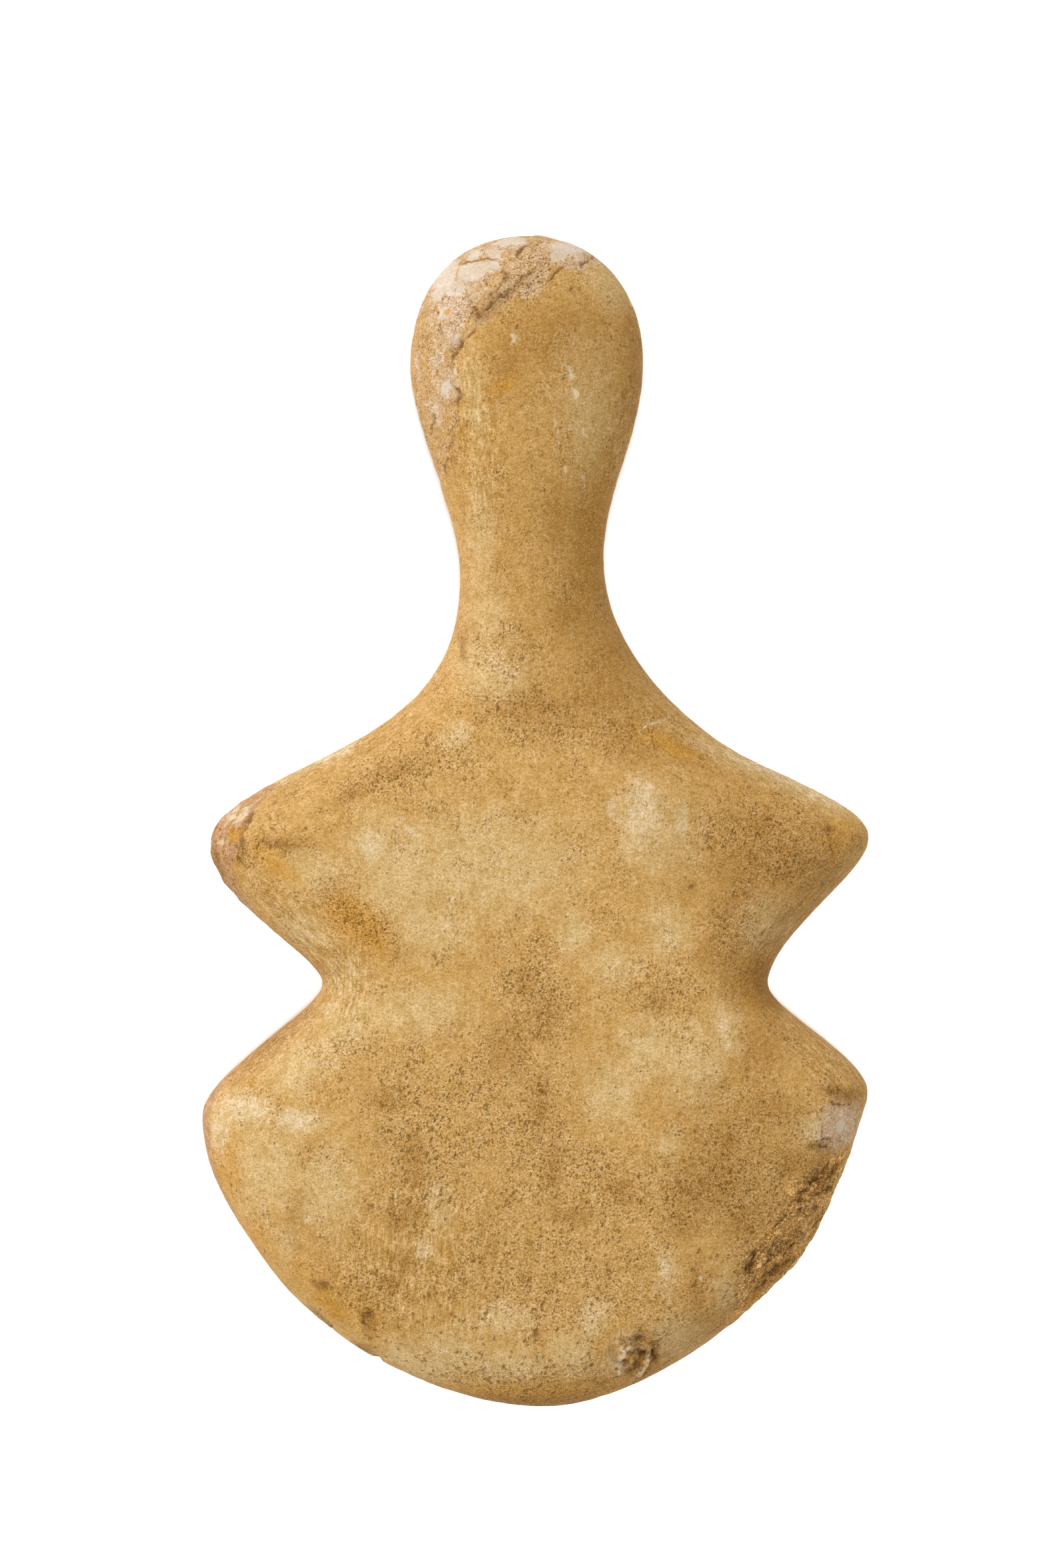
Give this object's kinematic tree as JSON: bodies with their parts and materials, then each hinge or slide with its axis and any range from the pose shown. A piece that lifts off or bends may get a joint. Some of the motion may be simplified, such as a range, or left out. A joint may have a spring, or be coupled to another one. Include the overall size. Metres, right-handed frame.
{
  "type": "marble idol",
  "caption": "Flat schematic marble idol with an oval head on a long neck, pointed shoulders, a notched waist and a rounded lower body, lying on its back.",
  "frame": {"origin": "under the middle of the idol's box, on the surface that its flat back lies on", "axes": "+Y towards the crown of the head, +Z out of the front, +X to the right of someone who looks down on the front"},
  "size_m": [0.08, 0.14, 0.0182],
  "materials": {
    "marble": "worn satin marble under an ochre patina, with bare white patches"
  },
  "bodies": {
    "root": {"idol": "marble"}
  },
  "joints": []
}
